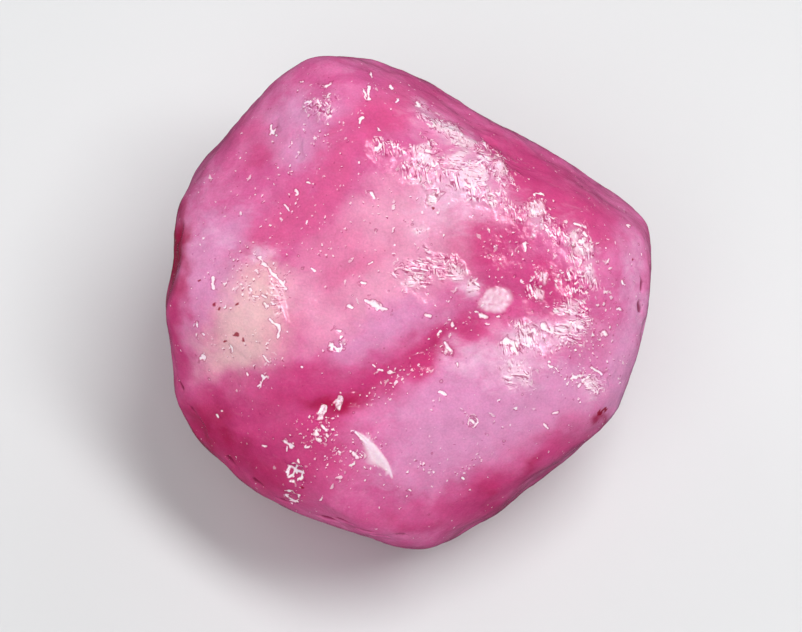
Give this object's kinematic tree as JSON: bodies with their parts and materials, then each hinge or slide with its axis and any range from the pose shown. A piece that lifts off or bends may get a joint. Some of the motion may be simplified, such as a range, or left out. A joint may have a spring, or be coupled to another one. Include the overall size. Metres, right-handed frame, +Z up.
{
  "type": "rough ruby",
  "caption": "Natural rough ruby: a rounded, uncut deep pink stone with a broad creased face, worn flats, chips and a flat that it lies on.",
  "frame": {"origin": "centre of the bounding box's bottom, on the surface that the stone lies on", "axes": "+Z up, out of the surface that the stone lies on; the broad face looks up and leans 20 degrees towards -Y; +X to the right of that face"},
  "size_m": [0.0222, 0.0218, 0.0149],
  "materials": {
    "ruby_stone": "gloss"
  },
  "bodies": {
    "root": {"ruby": "ruby_stone"}
  },
  "joints": []
}
